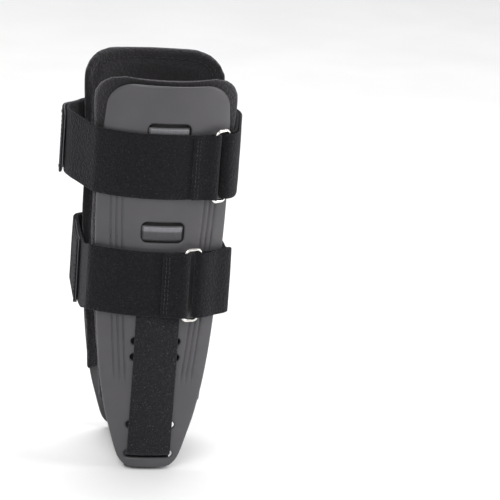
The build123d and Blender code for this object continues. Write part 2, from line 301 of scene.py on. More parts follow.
def plate(outline, holes, thickness, face, rim, spacing, lines=()):
    """Closed plate on the lateral side, with a rounded rim round its outline and every hole.

    face(x, z) is the offset of its outer face. lines are chains of (x, z, extra depth) that the outer
    face follows exactly. Returns its points and faces."""
    flat, drop, dip, edges = [], [], [], []

    def chain(points, drops, dips, closed):
        first = len(flat)
        flat.extend(points)
        drop.extend(drops)
        dip.extend(dips)
        last = len(flat)
        edges.extend((i, i + 1) for i in range(first, last - 1))
        if closed:
            edges.append((last - 1, first))

    loops = [(outline, 1.0)] + [(hole, -1.0) for hole in holes]
    for loop, side in loops:
        for turn in (0.0, 22.5, 45.0, 67.5, 90.0):
            angle = math.radians(turn)
            moved = inset_loop(loop, side * rim * (1 - math.cos(angle)))
            chain(moved, [rim * (1 - math.sin(angle))] * len(moved), [0.0] * len(moved), True)
    for line in lines:
        chain([Vector((x, z)) for x, z, _ in line], [0.0] * len(line), [d for _, _, d in line], False)

    tree = tree_of(flat)
    low_x, high_x = min(p.x for p in outline), max(p.x for p in outline)
    low_z, high_z = min(p.y for p in outline), max(p.y for p in outline)
    grid = []
    for row in range(int((high_z - low_z) / spacing) + 1):
        for column in range(int((high_x - low_x) / spacing) + 1):
            x = low_x + (column + 0.5 * (row % 2)) * spacing
            z = low_z + row * spacing
            if tree.find((x, z, 0))[2] > 0.7 * spacing:
                grid.append((x, z))
    grid = np.array(grid)
    keep = inside(grid, outline)
    for hole in holes:
        keep &= ~inside(grid, hole)
    for x, z in grid[keep]:
        flat.append(Vector((float(x), float(z))))
        drop.append(0.0)
        dip.append(0.0)

    found, _, triangles, sources, _, _ = delaunay_2d_cdt(flat, edges, [], 0, 1e-5)
    middles = np.array([
        [sum(found[i].x for i in t) / 3, sum(found[i].y for i in t) / 3] for t in triangles
    ])
    keep = inside(middles, outline)
    for hole in holes:
        keep &= ~inside(middles, hole)
    triangles = [t for t, kept in zip(triangles, keep) if kept]

    points, faces, front, back = [], [], {}, {}
    for i, spot in enumerate(found):
        source = sources[i][0] if sources[i] else tree.find((spot.x, spot.y, 0))[1]
        outer = face(spot.x, spot.y)
        front[i] = len(points)
        points.append((spot.x, side_y(spot.x, spot.y, outer - drop[source] - dip[source]), spot.y))
        if drop[source] > thickness / 2 - 1e-6:
            back[i] = front[i]
        else:
            back[i] = len(points)
            inner = outer - thickness + drop[source]
            points.append((spot.x, side_y(spot.x, spot.y, inner), spot.y))
    for a, b, c in triangles:
        faces.append((front[a], front[b], front[c]))
        faces.append((back[c], back[b], back[a]))
    return points, faces


def symmetric(half):
    """Closed outline from its right half."""
    return half + [Vector((-p.x, p.y)) for p in reversed(half)]


def shell_outline():
    """Front view of a shell, anticlockwise from the toe."""
    right = spline(SHELL_SIDE, 1.5)
    top_x = SHELL_SIDE[-1][0] - 0.8
    inner_x = top_x - SHELL_CORNER
    corner_z = SHELL_TOP - SHELL_CORNER
    corner = arc((inner_x, corner_z), SHELL_CORNER, 0, 90, 16)
    return symmetric(right + corner)


def pad_outline(inset):
    """Front view of a pad, anticlockwise from its foot."""
    right = [Vector((x - inset, z)) for x, z in PAD_SIDE]
    right[0].y += inset
    corner_x = PAD_SIDE[-1][0] - PAD_CORNER
    corner = arc((corner_x, PAD_TOP - PAD_CORNER), PAD_CORNER - inset, 0, 90, 14)
    return symmetric(right + corner)


def groove_lines():
    """Chains that shape three grooves beside each edge of a shell."""
    centre = spline(GROOVE_PATH, 3.0)
    low, high = GROOVE_PATH[0][1], GROOVE_PATH[-1][1]
    lines = []
    for side in (-1, 1):
        for shift in (-GROOVE_SPACING, 0.0, GROOVE_SPACING):
            for across in (-1.0, -0.62, -0.3, 0.0, 0.3, 0.62, 1.0):
                deep = GROOVE_DEPTH * math.cos(across * math.pi / 2) ** 2
                lines.append([
                    (
                        side * (p.x + shift + across * GROOVE_HALF),
                        p.y,
                        deep * smooth((p.y - low) / GROOVE_FADE) * smooth((high - p.y) / GROOVE_FADE),
                    )
                    for p in centre
                ])
    return lines


def shell_plate():
    """Lateral shell, pierced by its windows and slots and grooved beside its edges."""
    holes = [resample(rounded_box(z, WINDOW_SIZE, WINDOW_CORNER), 0.8) for z in WINDOW_LEVELS]
    holes += [resample(rounded_box(z, SLOT_SIZE, SLOT_SIZE[1] / 2 - 0.01), 0.7) for z in SLOT_LEVELS]
    outline = resample(shell_outline(), 1.2)
    rim = SHELL_THICKNESS / 2
    return plate(outline, holes, SHELL_THICKNESS, lambda x, z: 0.0, rim, 1.7, groove_lines())


# ---------------------------------------------------------------- bands: every strap

def band(name, surface, length, width, thickness, material, ends=(0.0, 0.0), step=1.6, wobble=0.25):
    """Fabric band. surface(s, w) is its middle at s along and w across; ends are its corner radii."""
    edge = thickness / 2
    trim = [0.0, 0.04, 0.2, 0.55, 1.0]
    across_count = max(4, round(width / 3.0))
    across = [edge * t for t in trim]
    across += [lerp(edge, width - edge, k / across_count) for k in range(1, across_count)]
    across += [width - edge * t for t in reversed(trim)]
    along_count = max(4, round(length / step))
    along = [edge * t for t in trim]
    along += [lerp(edge, length - edge, k / along_count) for k in range(1, along_count)]
    along += [length - edge * t for t in reversed(trim)]

    def rounding(distance):
        nearness = max(0.0, 1 - distance / edge)
        return math.sqrt(max(0.0, 1 - nearness * nearness))

    def shoulder(distance, radius):
        if distance >= radius:
            return 0.0
        return radius - math.sqrt(max(0.0, radius * radius - (radius - distance) ** 2))

    points, uvs, faces, top, under = [], [], [], {}, {}
    for i, s in enumerate(along):
        pinch = max(shoulder(s, ends[0]), shoulder(length - s, ends[1]))
        for j, w in enumerate(across):
            place = width / 2 + (w - width / 2) * (1 - 2 * pinch / width)
            here = surface(s, place)
            ahead = surface(min(length, s + 0.2), place) - surface(max(0.0, s - 0.2), place)
            beside = surface(s, min(width, place + 0.2)) - surface(s, max(0.0, place - 0.2))
            normal = ahead.cross(beside).normalized()
            half = edge * rounding(min(w, width - w)) * rounding(min(s, length - s))
            drift = wobble * noise.noise(here * 0.045) + 0.05 * noise.noise(here * 0.9)
            here = here + normal * drift
            top[i, j] = len(points)
            points.append(here + normal * half)
            uvs.append((s * MM, place * MM))
            if half < 1e-6:
                under[i, j] = top[i, j]
            else:
                under[i, j] = len(points)
                points.append(here - normal * half)
                uvs.append((s * MM, place * MM))
    for i in range(len(along) - 1):
        for j in range(len(across) - 1):
            corners = [(i, j), (i + 1, j), (i + 1, j + 1), (i, j + 1)]
            faces.append(tuple(top[c] for c in corners))
            faces.append(tuple(under[c] for c in reversed(corners)))
    clean = []
    for face in faces:
        seen = list(dict.fromkeys(face))
        if len(seen) > 2:
            clean.append(tuple(seen))
    return mesh_object(name, points, clean, material, uvs)


def belt_circles(strap, z, gap):
    """Circles that a strap goes round at one level, anticlockwise from the lateral side."""
    centre_y = SIDE_RADIUS - reach(z)
    sine = strap["edge"] / SIDE_RADIUS
    cosine = math.sqrt(1 - sine * sine)
    corner_x = strap["edge"] - STRAP_CORNER * sine
    corner_y = centre_y - (SIDE_RADIUS - STRAP_CORNER) * cosine
    front_x, front_radius = strap["front"]
    rear_x, rear_radius = strap["rear"]
    circles = [
        ((0.0, centre_y), SIDE_RADIUS),
        ((corner_x, corner_y), STRAP_CORNER),
        ((front_x, 0.0), front_radius),
        ((corner_x, -corner_y), STRAP_CORNER),
        ((0.0, -centre_y), SIDE_RADIUS),
        ((-corner_x, -corner_y), STRAP_CORNER),
        ((rear_x, 0.0), rear_radius),
        ((-corner_x, corner_y), STRAP_CORNER),
    ]
    return [(Vector(centre), radius + gap) for centre, radius in circles]


def run_normal(first, second):
    """Outward normal of the straight run between two circles of a belt."""
    between = second[0] - first[0]
    along = between.normalized()
    out = Vector((along.y, -along.x))
    cosine = max(-1.0, min(1.0, (first[1] - second[1]) / between.length))
    return along * cosine + out * math.sqrt(1 - cosine * cosine)


def belt(strap, z, gap):
    """Belt at one level as a chain of points, anticlockwise, from the lateral side's middle."""
    circles = belt_circles(strap, z, gap)
    count = len(circles)
    normals = [run_normal(circles[i], circles[(i + 1) % count]) for i in range(count)]
    chain = []
    for i, (centre, radius) in enumerate(circles):
        start = math.atan2(normals[i - 1].y, normals[i - 1].x)
        end = math.atan2(normals[i].y, normals[i].x)
        if end < start:
            end += 2 * math.pi
        if i == 0:
            start = -math.pi / 2
        for k in range(BELT_STEPS[i] + 1):
            angle = lerp(start, end, k / BELT_STEPS[i])
            chain.append(centre + Vector((math.cos(angle), math.sin(angle))) * radius)
        following, next_radius = circles[(i + 1) % count]
        begin, finish = chain[-1], following + normals[i] * next_radius
        chain += [begin.lerp(finish, k / RUN_STEPS) for k in range(1, RUN_STEPS)]
    centre, radius = circles[0]
    start = math.atan2(normals[-1].y, normals[-1].x)
    if start > 0:
        start -= 2 * math.pi
    for k in range(BELT_STEPS[0] + 1):
        angle = lerp(start, -math.pi / 2, k / BELT_STEPS[0])
        chain.append(centre + Vector((math.cos(angle), math.sin(angle))) * radius)
    return chain


def ring_frame(strap):
    """Matrix of a ring, in millimetres: origin in the rear bar, X across the ring, Z along its bars."""
    middle = strap["bottom"] + STRAP_WIDTH / 2
    rise = reach(strap["bottom"] + STRAP_WIDTH) - reach(strap["bottom"])
    y = side_y(strap["ring_x"], middle, strap["gap"] + BAR_STANDOFF)
    place = Matrix.Translation((strap["ring_x"], y, middle))
    lean = Matrix.Rotation(math.atan(rise / STRAP_WIDTH), 4, "X")
    return place @ lean @ Matrix.Rotation(math.radians(strap["ring_turn"]), 4, "Z")


def bar_at(strap, across, z):
    """Centre of one of a ring's bars where it crosses a level, in the plane."""
    matrix = ring_frame(strap)
    start = matrix @ Vector((across, 0, 0))
    along = matrix.to_3x3() @ Vector((0, 0, 1))
    point = start + along * ((z - start.z) / along.z)
    return point.xy


def bridge(start, start_way, end, end_way, count):
    """Points of a smooth curve that leaves start along one way and reaches end along another."""
    reach_out = (end - start).length
    a, b = start_way.normalized() * reach_out, end_way.normalized() * reach_out
    points = []
    for k in range(1, count):
        t = k / count
        points.append(
            start * (2 * t ** 3 - 3 * t * t + 1) + a * (t ** 3 - 2 * t * t + t)
            + end * (3 * t * t - 2 * t ** 3) + b * (t ** 3 - t * t)
        )
    return points


def ring_ways(strap):
    """Directions of a ring in the plane: out of the leg, and ahead from its rear bar to its front one."""
    turn = math.radians(strap["ring_turn"])
    return Vector((math.sin(turn), -math.cos(turn))), Vector((math.cos(turn), math.sin(turn)))


def seam_point(strap, z, gap):
    """Point of a belt at which the hook tab starts, and the way the strap runs there."""
    circles = belt_circles(strap, z, gap)
    normal = run_normal(circles[5], circles[6])
    way = Vector((-normal.y, normal.x))
    return circles[6][0] + normal * circles[6][1] - way * strap["tab_lead"], way


def layer_offset(number):
    """Gap from the shell's face to the middle of one of a strap's layers."""
    return STRAP_THICKNESS / 2 + number * (STRAP_THICKNESS + LAYER_GAP)


def strap_marks(strap):
    """Indices, the same at every level, at which a strap's route joins and leaves its two belts."""
    z = strap["bottom"] + STRAP_WIDTH / 2
    inner = belt(strap, z, strap["gap"] + layer_offset(0))
    outer = belt(strap, z, strap["gap"] + layer_offset(1))
    ahead = ring_ways(strap)[1]
    bar = bar_at(strap, RING_SPACING, z)
    seam, way = seam_point(strap, z, strap["gap"] + layer_offset(1))
    start = max(i for i in range(BELT_STEPS[0]) if inner[i].x < strap["ring_x"] - 7.0)
    leave = next(i for i, p in enumerate(inner) if (p - bar).dot(ahead) > BELT_LEAVE)
    join = next(i for i, p in enumerate(outer) if (p - bar).dot(ahead) > BELT_JOIN)
    finish = next(i for i, p in enumerate(outer) if p.x < 0 and p.y > 0 and (seam - p).dot(way) < 0.5)
    return start, leave, join, finish


def strap_chain(strap, z, marks):
    """Middle of a wrap strap at one level: sewn end, rear bar, once round the leg, front bar, and back
    over itself to the tab's seam."""
    start, leave, join, finish = marks
    half = STRAP_THICKNESS / 2
    out, ahead = ring_ways(strap)
    facing = math.degrees(math.atan2(out.y, out.x))
    rear_bar, front_bar = bar_at(strap, 0, z), bar_at(strap, RING_SPACING, z)
    centre = Vector((0.0, SIDE_RADIUS - reach(z)))
    radius = SIDE_RADIUS + strap["gap"] + layer_offset(0) + STRAP_THICKNESS + 0.05
    low_angle = -math.degrees(math.acos((strap["ring_x"] - STUB_START) / radius))
    high_angle = -math.degrees(math.acos((strap["ring_x"] - STUB_END) / radius))
    chain = arc(centre, radius, low_angle, high_angle, 12)
    way = chain[-1] - chain[-2]
    fold = rear_bar + out * (REAR_BORE + half)
    chain += bridge(chain[-1], way, fold, ahead, 8)
    chain += arc(rear_bar, REAR_BORE + half, facing, facing + 180, 14)
    inner = belt(strap, z, strap["gap"] + layer_offset(0))
    chain += bridge(chain[-1], -ahead, inner[start], inner[start - 1] - inner[start], 8)
    chain += inner[start::-1] + inner[-2:leave - 1:-1]
    fold = front_bar - out * (FRONT_BORE + half)
    chain += bridge(chain[-1], chain[-1] - chain[-2], fold, -ahead, 8)
    chain += arc(front_bar, FRONT_BORE + half, facing + 180, facing + 360, 16)
    outer = belt(strap, z, strap["gap"] + layer_offset(1))
    chain += bridge(chain[-1], ahead, outer[join], outer[join + 1] - outer[join], 8)
    chain += outer[join:finish]
    chain.append(seam_point(strap, z, strap["gap"] + layer_offset(1))[0])
    return chain


def tab_chain(strap, z, lift, finish):
    """Middle of a layer of the hook tab at one level, standing off more towards its free end."""
    gap = strap["gap"] + layer_offset(1)
    outer = belt(strap, z, gap)
    seam = seam_point(strap, z, gap)[0]
    centre = Vector((strap["rear"][0], 0.0))
    limit = math.radians(strap["tab_end"] - 360)
    chain = [seam]
    for point in outer[finish + 1:]:
        ray = point - centre
        angle = math.atan2(ray.y, ray.x)
        if limit < angle < 0 and ray.x < 0:
            break
        chain.append(point)
    span = len(chain) - 1
    moved = []
    for i, point in enumerate(chain):
        before, after = chain[max(0, i - 1)], chain[min(span, i + 1)]
        along = (after - before).normalized()
        moved.append(point + Vector((along.y, -along.x)) * (lift + TAB_STANDOFF * (i / span) ** 2))
    return moved


def ruled(strap, low_chain, high_chain):
    """Surface between two chains at a strap's lower and upper edge, and its length. Where it spans the gap
    between the sides the strap rides a little up or down."""
    low_z, width = strap["bottom"], STRAP_WIDTH
    lengths = running_lengths([a.lerp(b, 0.5) for a, b in zip(low_chain, high_chain)])

    def surface(s, w):
        k, t = locate(lengths, s)
        low = low_chain[k].lerp(low_chain[k + 1], t)
        high = high_chain[k].lerp(high_chain[k + 1], t)
        spot = low.lerp(high, w / width)
        ride = strap["lift"] * smooth((36.0 - abs(spot.y)) / 30.0)
        return Vector((spot.x, spot.y, low_z + w + ride))

    return surface, lengths[-1]


# ---------------------------------------------------------------- threads

def tube_faces(first, count, sides, closed):
    """Faces between rings of points that follow each other from first on."""
    faces = []
    for i in range(count if closed else count - 1):
        here, following = first + i * sides, first + (i + 1) % count * sides
        for k in range(sides):
            turned = (k + 1) % sides
            faces.append((here + k, here + turned, following + turned, following + k))
    return faces


def thread(name, runs, material, radius=0.22):
    """Row of stitches; runs are lists of points, each a stitch that dips at both ends."""
    points, faces = [], []
    sides = 6
    for run in runs:
        first = len(points)
        for i, point in enumerate(run):
            way = (run[min(i + 1, len(run) - 1)] - run[max(i - 1, 0)]).normalized()
            across = way.orthogonal().normalized()
            beside = way.cross(across)
            size = radius * (0.35 if i in (0, len(run) - 1) else 1.0)
            for k in range(sides):
                angle = 2 * math.pi * k / sides
                points.append(point + (across * math.cos(angle) + beside * math.sin(angle)) * size)
        faces += tube_faces(first, len(run), sides, False)
        faces.append(tuple(first + k for k in reversed(range(sides))))
        last = first + (len(run) - 1) * sides
        faces.append(tuple(last + k for k in range(sides)))
    return mesh_object(name, points, faces, material)


def on_face(surface, lift):
    """Point just above a fabric's face, and the normal there, for a distance along and across it."""
    def sewn(s, w):
        normal = (surface(s + 0.3, w) - surface(s - 0.3, w)).cross(Vector((0, 0, 1))).normalized()
        return surface(s, w) + normal * lift, normal

    return sewn


def stitches(place, length, pitch=2.6, bite=1.9, depth=0.35):
    """Stitch runs along place(s), which gives a point and the surface's normal there."""
    runs = []
    s = 0.4
    while s + bite < length:
        run = []
        for k in range(5):
            t = k / 4
            point, normal = place(s + bite * t)
            run.append(point + normal * (depth * (math.sin(math.pi * t) ** 0.6 - 0.55)))
        runs.append(run)
        s += pitch
    return runs


# ---------------------------------------------------------------- materials

def nodes_for(name):
    """New material: itself, its shader, its object coordinates, a maker of nodes and a linker."""
    material = bpy.data.materials.new(name)
    material.use_nodes = True
    tree = material.node_tree

    def link(node, links):
        for socket, source in links.items():
            if isinstance(source, bpy.types.NodeSocket):
                tree.links.new(source, node.inputs[socket])
            else:
                node.inputs[socket].default_value = source

    def add(kind, links=None, **values):
        node = tree.nodes.new(kind)
        for key, value in values.items():
            setattr(node, key, value)
        link(node, links or {})
        return node

    here = add("ShaderNodeTexCoord").outputs["Object"]
    return material, tree.nodes["Principled BSDF"], here, add, link


def texture_at(add, kind, coordinates, scale, **extra):
    """Texture node of a scale per metre."""
    return add(kind, {"Vector": coordinates, "Scale": scale, **extra})


def relief(add, height, strength, distance, invert=False):
    """Normal that makes a texture stand up from the surface."""
    links = {"Strength": strength, "Distance": distance, "Height": height}
    return add("ShaderNodeBump", links, invert=invert).outputs["Normal"]


def ranged(add, value, from_min, from_max, to_min, to_max):
    """Value carried from one range to another."""
    return add("ShaderNodeMapRange", {
        "Value": value, "From Min": from_min, "From Max": from_max, "To Min": to_min, "To Max": to_max,
    }).outputs["Result"]


def two_colours(add, factor, low, high, start=0.35, end=0.65):
    """Colour ramp between two colours."""
    ramp = add("ShaderNodeValToRGB", {"Fac": factor})
    ramp.color_ramp.elements[0].position = start
    ramp.color_ramp.elements[1].position = end
    ramp.color_ramp.elements[0].color = (*low, 1)
    ramp.color_ramp.elements[1].color = (*high, 1)
    return ramp.outputs["Color"]


def plastic(name):
    """Satin moulded plastic: fine spark-eroded grain, faint flow marks and worn, shinier patches."""
    material, shader, here, add, link = nodes_for(name)
    flow = texture_at(add, "ShaderNodeTexNoise", here, 38.0, Detail=4.0)
    wear = texture_at(add, "ShaderNodeTexNoise", here, 120.0, Detail=6.0)
    grain = texture_at(add, "ShaderNodeTexNoise", here, 2600.0, Detail=2.0)
    link(shader, {
        "Base Color": two_colours(add, flow.outputs["Fac"], (0.051, 0.049, 0.053), (0.061, 0.058, 0.063)),
        "Roughness": ranged(add, wear.outputs["Fac"], 0.3, 0.7, 0.40, 0.50),
        "Normal": relief(add, grain.outputs["Fac"], 0.12, 0.0001),
        "Specular IOR Level": 0.45,
    })
    return material


def pile(name, dark, light, speck, fibre, sheen, lint):
    """Brushed loop fabric: tangled loops of a size, with lighter fibre tips and a soft sheen."""
    material, shader, here, add, link = nodes_for(name)
    tangle = texture_at(add, "ShaderNodeTexNoise", here, fibre, Detail=5.0, Roughness=0.7, Distortion=1.4)
    loops = texture_at(add, "ShaderNodeTexVoronoi", here, fibre * 0.8)
    base = two_colours(add, tangle.outputs["Fac"], dark, light, 0.38, 0.72)
    tips = texture_at(add, "ShaderNodeTexNoise", here, fibre * 1.7, Detail=2.0, Roughness=0.6)
    bright = ranged(add, tips.outputs["Fac"], 0.60, 0.74, 0.0, lint)
    colour = add("ShaderNodeMix", data_type="RGBA")
    link(colour, {0: bright, 6: base, 7: (*speck, 1)})
    heights = {0: tangle.outputs["Fac"], 1: loops.outputs["Distance"]}
    height = add("ShaderNodeMath", heights, operation="ADD")
    link(shader, {
        "Base Color": colour.outputs[2],
        "Normal": relief(add, height.outputs[0], 0.8, 0.0006),
        "Roughness": 0.95,
        "Specular IOR Level": 0.15,
        "Sheen Weight": sheen,
        "Sheen Roughness": 0.45,
        "Sheen Tint": (0.62, 0.60, 0.64, 1),
    })
    return material


def weave(name, dark, light, scale):
    """Ribbed woven band, ribs one way and yarns the other, with painted light by height in each window:
    painted shade low down, a light band that is partly the open mesh and partly a painted highlight on the
    swell, and a painted shadow under the upper rim.
    """
    material, shader, here, add, link = nodes_for(name)
    yarn = texture_at(add, "ShaderNodeTexWave", here, scale, Distortion=0.8, Detail=1.0)
    cross = texture_at(add, "ShaderNodeTexWave", here, scale * 0.8, Distortion=0.5)
    cross.bands_direction = "Z"
    heights = {0: yarn.outputs["Fac"], 1: cross.outputs["Fac"]}
    both = add("ShaderNodeMath", heights, operation="MULTIPLY")
    spacing = WINDOW_LEVELS[1] - WINDOW_LEVELS[0]
    sill = WINDOW_LEVELS[0] % spacing - WINDOW_SIZE[1] / 2
    height = add("ShaderNodeSeparateXYZ", {"Vector": here}).outputs["Z"]
    level = add("ShaderNodeMath", {0: height, 1: spacing * MM}, operation="MODULO")
    share = ranged(add, level.outputs[0], sill * MM, (sill + WINDOW_SIZE[1]) * MM, 0.0, 1.0)
    # Painted light by height in each window: the yarn colour is multiplied down to painted shade on the
    # lower part and to a painted shadow under the upper rim. The bright band between them is partly the
    # open mesh and partly a painted highlight on the swell.
    painted_light_ramp = add("ShaderNodeValToRGB", {"Fac": share})
    tint = painted_light_ramp.color_ramp
    # Stops: painted shade 0.28 at the sill and 0.34 at mid height, full brightness from 0.60 to 0.76 (open
    # mesh and painted highlight), and painted shadow 0.03 from 0.82 to the top.
    tint.elements[0].color = (0.28, 0.27, 0.29, 1)
    tint.elements[1].color = (0.03, 0.03, 0.03, 1)
    tint.elements[1].position = 0.82
    for position, grey in ((0.50, 0.34), (0.60, 1.0), (0.76, 1.0)):
        tint.elements.new(position).color = (grey, grey, grey, 1)
    shaded = add("ShaderNodeMix", data_type="RGBA", blend_type="MULTIPLY")
    link(shaded, {
        0: 1.0,
        6: two_colours(add, both.outputs[0], dark, light, 0.1, 0.8),
        7: painted_light_ramp.outputs["Color"],
    })
    link(shader, {
        "Base Color": shaded.outputs[2],
        "Normal": relief(add, both.outputs[0], 0.6, 0.0003),
        "Roughness": 0.75,
        "Sheen Weight": 0.1,
    })
    return material


def hooks(name, dark, light):
    """Moulded hook tape: rows of tiny hooks on a smooth web."""
    material, shader, here, add, link = nodes_for(name)
    rows = texture_at(add, "ShaderNodeTexVoronoi", here, 1100.0, Randomness=0.25).outputs["Distance"]
    link(shader, {
        "Base Color": two_colours(add, rows, light, dark, 0.1, 0.5),
        "Normal": relief(add, rows, 0.7, 0.0004, True),
        "Roughness": 0.5,
    })
    return material


def nickel(name):
    """Bright nickel-plated wire with fine rubbed scratches."""
    material, shader, here, add, link = nodes_for(name)
    marks = texture_at(add, "ShaderNodeTexNoise", here, 700.0, Detail=5.0, Distortion=2.0).outputs["Fac"]
    tint = texture_at(add, "ShaderNodeTexNoise", here, 90.0, Detail=2.0).outputs["Fac"]
    link(shader, {
        "Base Color": two_colours(add, tint, (0.66, 0.64, 0.60), (0.78, 0.76, 0.73)),
        "Roughness": ranged(add, marks, 0.3, 0.7, 0.14, 0.30),
        "Normal": relief(add, marks, 0.15, 0.0001),
        "Metallic": 1.0,
    })
    return material


SHELL_PLASTIC = plastic("shell_plastic")
STRAP_PILE = pile(
    "strap_pile", (0.0050, 0.0050, 0.0060), (0.012, 0.012, 0.0138), (0.07, 0.07, 0.075), 900.0, 0.14, 0.5,
)
HEEL_PILE = pile(
    "heel_pile", (0.009, 0.009, 0.0105), (0.021, 0.021, 0.024), (0.11, 0.11, 0.117), 850.0, 0.16, 0.6,
)
PAD_CLOTH = pile(
    "pad_cloth", (0.014, 0.013, 0.014), (0.024, 0.022, 0.024), (0.06, 0.056, 0.06), 800.0, 0.35, 0.4,
)
WINDOW_WEAVE = weave("window_weave", (0.10, 0.10, 0.108), (0.46, 0.46, 0.49), 620.0)
HOOK_TAPE = hooks("hook_tape", (0.035, 0.035, 0.038), (0.10, 0.10, 0.105))
TAB_HOOKS = hooks("tab_hooks", (0.07, 0.07, 0.078), (0.17, 0.17, 0.185))
RING_NICKEL = nickel("ring_nickel")
THREAD = pile(
    "thread", (0.010, 0.010, 0.011), (0.026, 0.026, 0.029), (0.05, 0.05, 0.05), 2500.0, 0.3, 0.3,
)


# ---------------------------------------------------------------- making the pieces

def settle(piece, body, slot, *nodes):
    """Names the body a piece moves with and the frame's nodes that it stands for, which it hides; slot is
    not used.
    """
    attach(piece, body)
    if nodes:
        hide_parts(*nodes)


def make_shells():
    """Moulded shells."""
    for side, spots, polygons in both_sides(*shell_plate()):
        piece = mesh_object(f"{side}_shell_moulding", spots, polygons, SHELL_PLASTIC)
        settle(piece, f"{side}_side", "shell_plastic", f"{side}_shell")


def window_band_offset(u, v):
    """Offset of a window band's face; u and v run from -1 to 1 across its window and up it. The band is
    tucked in under the upper rim, swells out below that and sinks towards the sill."""
    held = smooth((0.85 - v) / 0.4) * smooth((v + 1.0) / 0.3) * smooth((1.0 - abs(u)) / 0.12)
    rib = 0.10 * math.cos(math.pi * 30 * u) * (1 + 0.5 * math.cos(math.pi * 14 * v))
    return -3.0 + (2.8 - 0.7 * max(0.0, 0.45 - v) + rib) * held


def window_bulge(level):
    """Band in the window at one level, as a closed cushion."""
    columns, rows = 84, 36
    width, height = WINDOW_SIZE[0] - 0.6, WINDOW_SIZE[1] - 0.5
    points, faces = [], []
    for back in (False, True):
        for j in range(rows + 1):
            v = 2 * j / rows - 1
            for i in range(columns + 1):
                u = 2 * i / columns - 1
                offset = PAD_OUTER if back else window_band_offset(u, v)
                x, z = u * width / 2, level + v * height / 2
                points.append((x, side_y(x, z, offset), z))
    per = (rows + 1) * (columns + 1)
    for j in range(rows):
        for i in range(columns):
            a = j * (columns + 1) + i
            quad = (a, a + 1, a + columns + 2, a + columns + 1)
            faces.append(quad)
            faces.append(tuple(per + k for k in reversed(quad)))
    border = list(range(columns)) + [j * (columns + 1) + columns for j in range(rows)]
    border += [rows * (columns + 1) + i for i in range(columns, 0, -1)]
    border += [j * (columns + 1) for j in range(rows, 0, -1)]
    for a, b in zip(border, border[1:] + border[:1]):
        faces.append((b, a, a + per, b + per))
    return points, faces


def make_window_bands():
    """Each side's window bands, as one piece."""
    points, faces = [], []
    for level in WINDOW_LEVELS:
        spots, polygons = window_bulge(level)
        first = len(points)
        points += spots
        faces += [tuple(first + k for k in face) for face in polygons]
    for side, spots, polygons in both_sides(points, faces):
        piece = mesh_object(f"{side}_window_weave", spots, polygons, WINDOW_WEAVE)
        settle(piece, f"{side}_side", "window_webbing", f"{side}_window_bands")


def offset_of(point):
    """Offset of a lateral point, in millimetres, from the shell's outer face."""
    centre_y = SIDE_RADIUS - reach(point.z)
    return math.hypot(point.x, point.y - centre_y) - SIDE_RADIUS


def swell(piece, voxel, pressure, cap):
    """Remeshes a piece and blows it up a little with cloth, no point moving further than cap."""
    scene = bpy.context.scene
    remesh = piece.modifiers.new("remesh", "REMESH")
    remesh.mode = "VOXEL"
    remesh.voxel_size = voxel
    remesh.use_smooth_shade = True
    take_evaluated(piece)
    rest = np.array([v.co for v in piece.data.vertices])
    cloth = piece.modifiers.new("cloth", "CLOTH")
    values = {
        "quality": 6, "mass": 0.2, "tension_stiffness": 8, "compression_stiffness": 8,
        "bending_stiffness": 0.4, "use_pressure": True, "uniform_pressure_force": pressure,
    }
    for key, value in values.items():
        setattr(cloth.settings, key, value)
    cloth.settings.effector_weights.gravity = 0
    for number in range(1, 21):
        scene.frame_set(number)
    take_evaluated(piece)
    scene.frame_set(1)
    moved = np.array([v.co for v in piece.data.vertices])
    step = moved - rest
    size = np.linalg.norm(step, axis=1, keepdims=True)
    step *= np.minimum(1.0, cap / np.maximum(size, 1e-9))
    piece.data.vertices.foreach_set("co", (rest + step).ravel())
    piece.data.update()


def take_evaluated(piece):
    """Replaces a piece's mesh by what its modifiers make of it, and drops them."""
    graph = bpy.context.evaluated_depsgraph_get()
    graph.update()
    mesh = bpy.data.meshes.new_from_object(piece.evaluated_get(graph))
    piece.modifiers.clear()
    piece.data = mesh


def make_pads():
    """Stuffed pads: the lateral one is swollen and smoothed, and the medial one is its mirror image."""
    depth = PAD_OUTER - PAD_INNER - 0.8
    outline = resample(pad_outline(PAD_INSET), 2.0)
    points, faces = plate(outline, [], depth, lambda x, z: PAD_OUTER - 0.3, depth / 2, 3.0)
    piece = mesh_object("lateral_pad", points, faces, PAD_CLOTH)
    swell(piece, PAD_VOXEL * MM, PAD_PRESSURE, PAD_SWELL_CAP * MM)
    smooth_pad(piece)
    spots = [tuple(v.co / MM) for v in piece.data.vertices]
    polygons = [tuple(p.vertices) for p in piece.data.polygons]
    bpy.data.objects.remove(piece)
    for side, spots, polygons in both_sides(spots, polygons):
        piece = mesh_object(f"{side}_pad", spots, polygons, PAD_CLOTH)
        subdivide = piece.modifiers.new("smooth", "SUBSURF")
        subdivide.levels = subdivide.render_levels = 1
        take_evaluated(piece)
        layers = [f"{side}_pad_{layer}" for layer in ("backing", "foam", "lining")]
        settle(piece, f"{side}_side", "pad_cloth", *layers)


def smooth_pad(piece):
    """Presses the seam in, keeps the pad off the shell and gives its face a soft unevenness."""
    tree = tree_of(resample(pad_outline(PAD_SEAM_INSET), 1.5))
    middle = (PAD_OUTER + PAD_INNER) / 2
    for vertex in piece.data.vertices:
        point = vertex.co / MM
        offset = offset_of(point)
        away = tree.find((point.x, point.z, 0))[2]
        pinch = PAD_SEAM_DEPTH * math.exp(-(away / PAD_SEAM_HALF) ** 2)
        if offset < middle:
            offset = max(offset, PAD_INNER + 0.1) + pinch
            offset += 0.25 * noise.noise(point * 0.07)
        else:
            offset = min(offset - 0.2 * pinch, PAD_OUTER - 0.1)
        centre_y = SIDE_RADIUS - reach(point.z)
        ray = Vector((point.x, point.y - centre_y)).normalized() * (SIDE_RADIUS + offset)
        vertex.co = Vector((ray.x, ray.y + centre_y, point.z)) * MM


